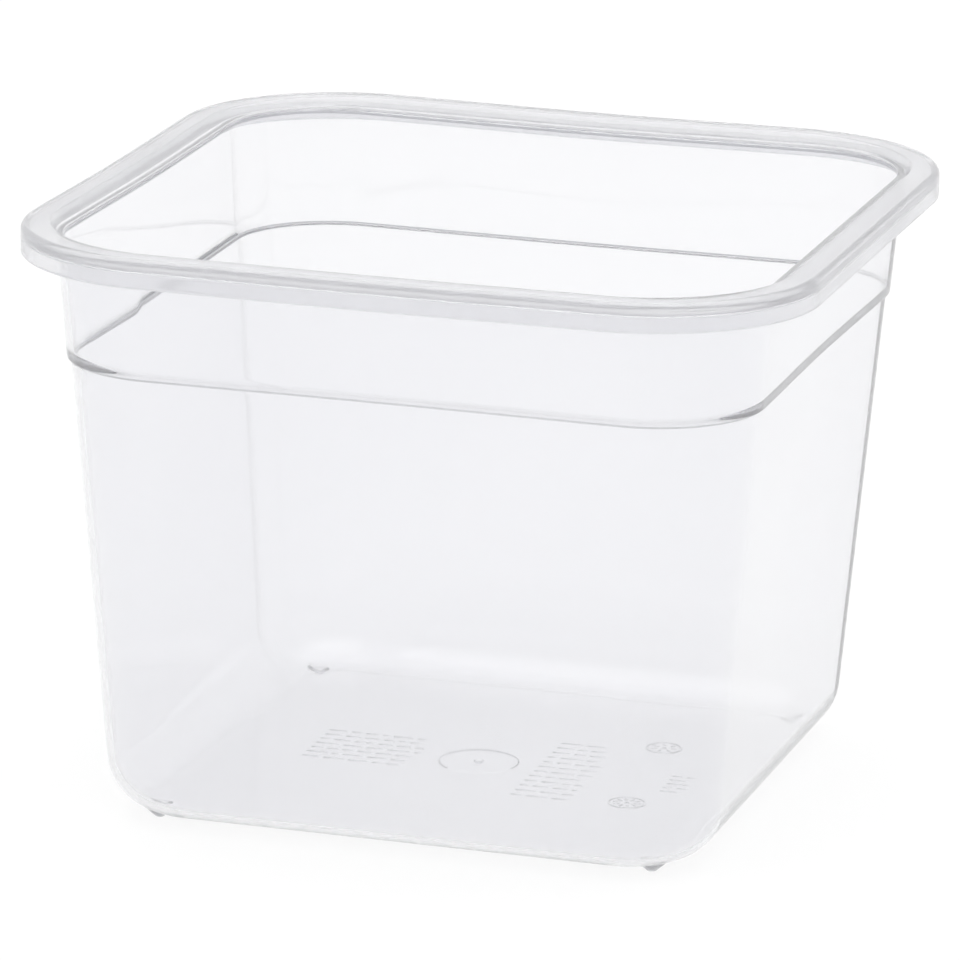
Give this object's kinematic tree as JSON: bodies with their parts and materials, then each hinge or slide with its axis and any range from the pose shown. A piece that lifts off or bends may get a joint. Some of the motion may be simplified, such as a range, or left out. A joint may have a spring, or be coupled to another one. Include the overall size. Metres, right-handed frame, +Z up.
{
  "type": "food storage container",
  "caption": "Square open plastic food storage tub with tapered walls, round corners, a stepped upper band and a flat turned-down rim that takes a press-on lid.",
  "frame": {"origin": "middle of the footprint, on the surface that the feet stand on", "axes": "+Z up out of the open top, walls square to X and Y"},
  "size_m": [0.15, 0.15, 0.1129],
  "materials": {
    "clear_plastic": "natural translucent polypropylene, glossy outside, faintly hazy, thicker and milkier at the rim"
  },
  "bodies": {
    "root": {"container": "clear_plastic"}
  },
  "joints": []
}
